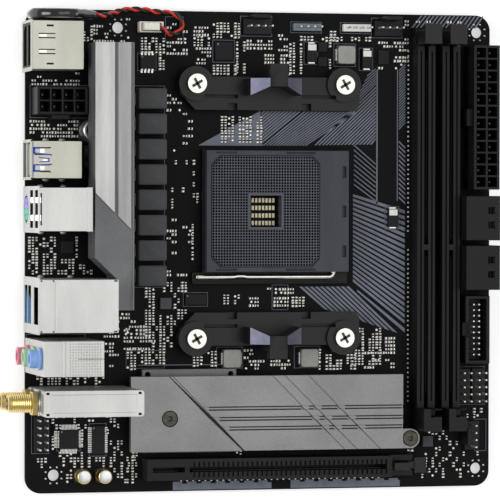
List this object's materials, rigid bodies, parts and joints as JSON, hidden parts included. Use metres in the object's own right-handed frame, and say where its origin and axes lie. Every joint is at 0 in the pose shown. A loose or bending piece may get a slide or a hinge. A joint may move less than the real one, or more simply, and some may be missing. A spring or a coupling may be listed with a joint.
{
  "type": "motherboard",
  "caption": "Small square computer motherboard with rear ports, processor socket and lever, memory and card slots, heatsinks and a clock battery on a lead.",
  "frame": {"origin": "axis of the mounting hole nearest the rear ports and the graphics card slot, at the underside of the circuit board", "axes": "+X from the rear ports to the power socket side, +Y from the graphics card slot to the battery side, +Z out of the component side"},
  "size_m": [0.1806, 0.1713, 0.0412],
  "materials": {
    "board_laminate": "solder-masked glass epoxy board, dark satin",
    "solder": "bright tin solder",
    "plated_plate": "black-coated steel plate",
    "insulating_film": "thin black polyester film",
    "black_nylon": "moulded black glass-filled nylon, satin",
    "black_latch": "moulded black nylon, satin",
    "socket_plastic": "dark slate moulded plastic, satin",
    "bright_steel": "nickel-plated steel, bright",
    "ceramic_chip": "sintered ceramic with tinned ends",
    "dark_aluminium": "bead-blasted and anodised, dark grey",
    "bright_aluminium": "brushed and clear anodised",
    "grey_aluminium": "fine-blasted and anodised, mid grey",
    "gap_pad": "soft silicone pad, matte",
    "chip_resin": "moulded black epoxy, satin",
    "ferrite": "pressed iron powder, matte",
    "can_aluminium": "drawn aluminium can",
    "dark_screw": "black-zinc screw steel",
    "brass_nut": "turned brass, plain",
    "gold_contact": "gold-plated contact metal",
    "chipset_board": "chip package laminate",
    "card_board": "dark blue card laminate",
    "header_plastic": "white and grey moulded nylon",
    "cell_steel": "stainless steel can",
    "shrink_sleeve": "glossy black shrink sleeve",
    "lead_jacket": "twisted red and black hook-up wire",
    "cream_plastic": "natural nylon, cream",
    "tinned_sheet": "tinned steel sheet, satin",
    "port_plastic": "moulded port insulator",
    "blue_plastic": "moulded blue port insulator",
    "ps2_plastic": "green and purple port plastic",
    "audio_metal": "tinned steel jacket over black plastic",
    "jack_plastic": "pink, green and blue jack collars"
  },
  "bodies": {
    "board": {"pcb": "board_laminate", "solder_tails": "solder", "backplate": "plated_plate", "backplate_film": "insulating_film", "bracket_upper": "black_nylon", "bracket_lower": "black_nylon", "bracket_screws": "bright_steel", "socket_base": "black_nylon", "socket_capacitors": "ceramic_chip", "vrm_heatsink": "dark_aluminium", "heatsink_trim": "bright_aluminium", "heatsink_screws": "bright_steel", "thermal_pads": "gap_pad", "mosfets": "chip_resin", "chokes": "ferrite", "bulk_capacitors": "can_aluminium", "m2_cover": "grey_aluminium", "m2_cover_screws": "dark_screw", "m2_standoffs": "brass_nut", "m2_socket": "black_nylon", "wifi_module": "card_board", "chipset": "chipset_board", "chipset_heatsink": "dark_aluminium", "pcie_slot": "black_nylon", "slot_contacts": "gold_contact", "dimm_slot_a": "black_nylon", "dimm_slot_b": "black_nylon", "main_power_socket": "black_nylon", "cpu_power_socket": "black_nylon", "power_pins": "gold_contact", "sata_stack_a": "black_nylon", "sata_stack_b": "black_nylon", "usb3_header": "black_nylon", "pin_headers": "black_nylon", "header_pins": "gold_contact", "fan_headers": "black_nylon", "led_headers": "header_plastic", "coin_cell": "cell_steel", "cell_sleeve": "shrink_sleeve", "battery_lead": "lead_jacket", "battery_plug": "cream_plastic", "battery_header": "cream_plastic", "video_shell": "tinned_sheet", "video_inserts": "port_plastic", "usb_shell": "tinned_sheet", "usb_inserts": "blue_plastic", "ps2_shell": "tinned_sheet", "ps2_inserts": "ps2_plastic", "lan_shell": "tinned_sheet", "lan_inserts": "port_plastic", "audio_block": "audio_metal", "audio_jacks": "jack_plastic", "wifi_shield": "tinned_sheet", "antenna_connectors": "gold_contact", "board_components": "chip_resin"},
    "cover": {"socket_cover": "socket_plastic"},
    "lever": {"socket_lever": "bright_steel"},
    "latch_a": {"dimm_latch_a": "black_latch"},
    "latch_b": {"dimm_latch_b": "black_latch"},
    "card_latch": {"pcie_latch": "black_latch"}
  },
  "joints": [
    {"name": "lever_hinge", "type": "hinge", "parent": "board", "child": "lever", "pos_m": [0.10064, 0.06955, 0.0046], "axis": [0, 1, 0], "range_deg": [0, 90]},
    {"name": "cover_slide", "type": "slide", "parent": "board", "child": "cover", "axis": [1, 0, 0], "range_m": [0, 0.0009]},
    {"name": "latch_a_hinge", "type": "hinge", "parent": "board", "child": "latch_a", "pos_m": [0.13364, 0.15525, 0.005], "axis": [-1, 0, 0], "range_deg": [0, 28]},
    {"name": "latch_b_hinge", "type": "hinge", "parent": "board", "child": "latch_b", "pos_m": [0.14294, 0.15525, 0.005], "axis": [-1, 0, 0], "range_deg": [0, 28]},
    {"name": "card_latch_hinge", "type": "hinge", "parent": "board", "child": "card_latch", "pos_m": [0.12534, 0.00205, 0.0048], "axis": [0, 1, 0], "range_deg": [0, 18]}
  ],
  "couplings": [
    {"joint": "cover_slide", "follows": "lever_hinge", "m_per_rad": 0.00057296}
  ]
}
